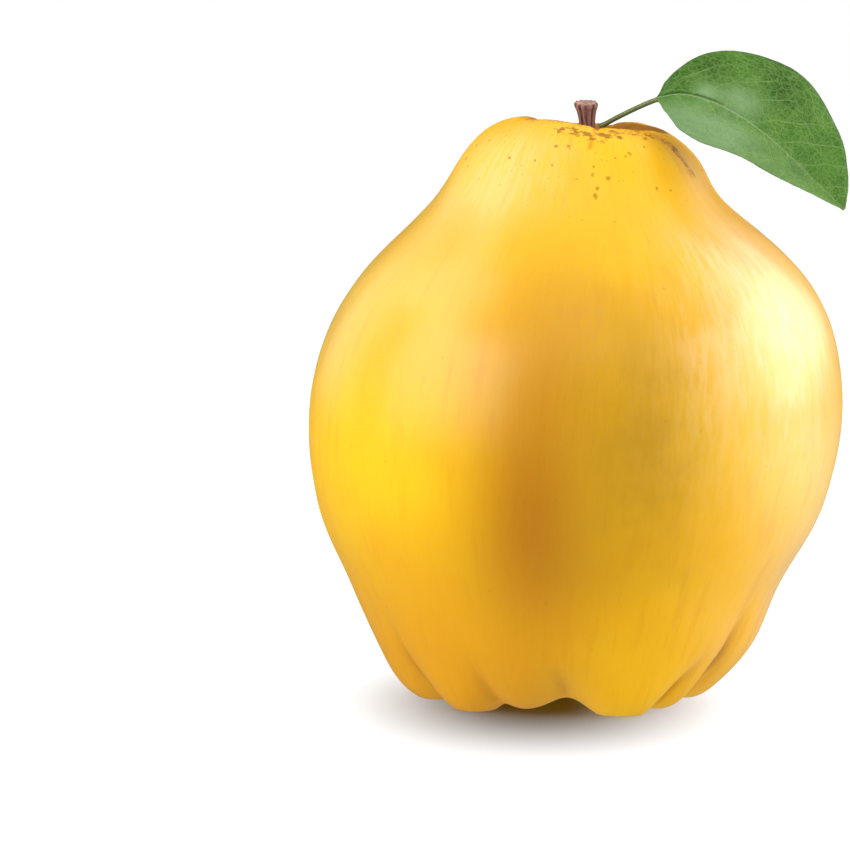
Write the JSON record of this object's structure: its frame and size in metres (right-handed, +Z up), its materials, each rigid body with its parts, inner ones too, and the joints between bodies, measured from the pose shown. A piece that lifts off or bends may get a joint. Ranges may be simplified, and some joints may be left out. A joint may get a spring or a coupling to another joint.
{
  "type": "quince",
  "caption": "Whole quince fruit standing on the lobes of its base, with a woody stalk stub, a leaf on its own stalk and a dried flower in the hollow underneath.",
  "frame": {"origin": "bottom centre of the part's box, on the surface that the fruit stands on", "axes": "+Z up from the dried flower to the stalk stub, +X to the side that the leaf grows towards, -Y the front"},
  "size_m": [0.0938, 0.094, 0.1123],
  "materials": {
    "skin": "waxy semi-gloss yellow fruit skin",
    "bark": "rough dark woody stalk",
    "leaf": "satin green leaf",
    "sepal": "dull green sepals",
    "stamen": "dry dark brown stamens"
  },
  "bodies": {
    "root": {"fruit": "skin", "stem": "bark", "leaf": "leaf", "calyx": "sepal", "stamens": "stamen"}
  },
  "joints": []
}
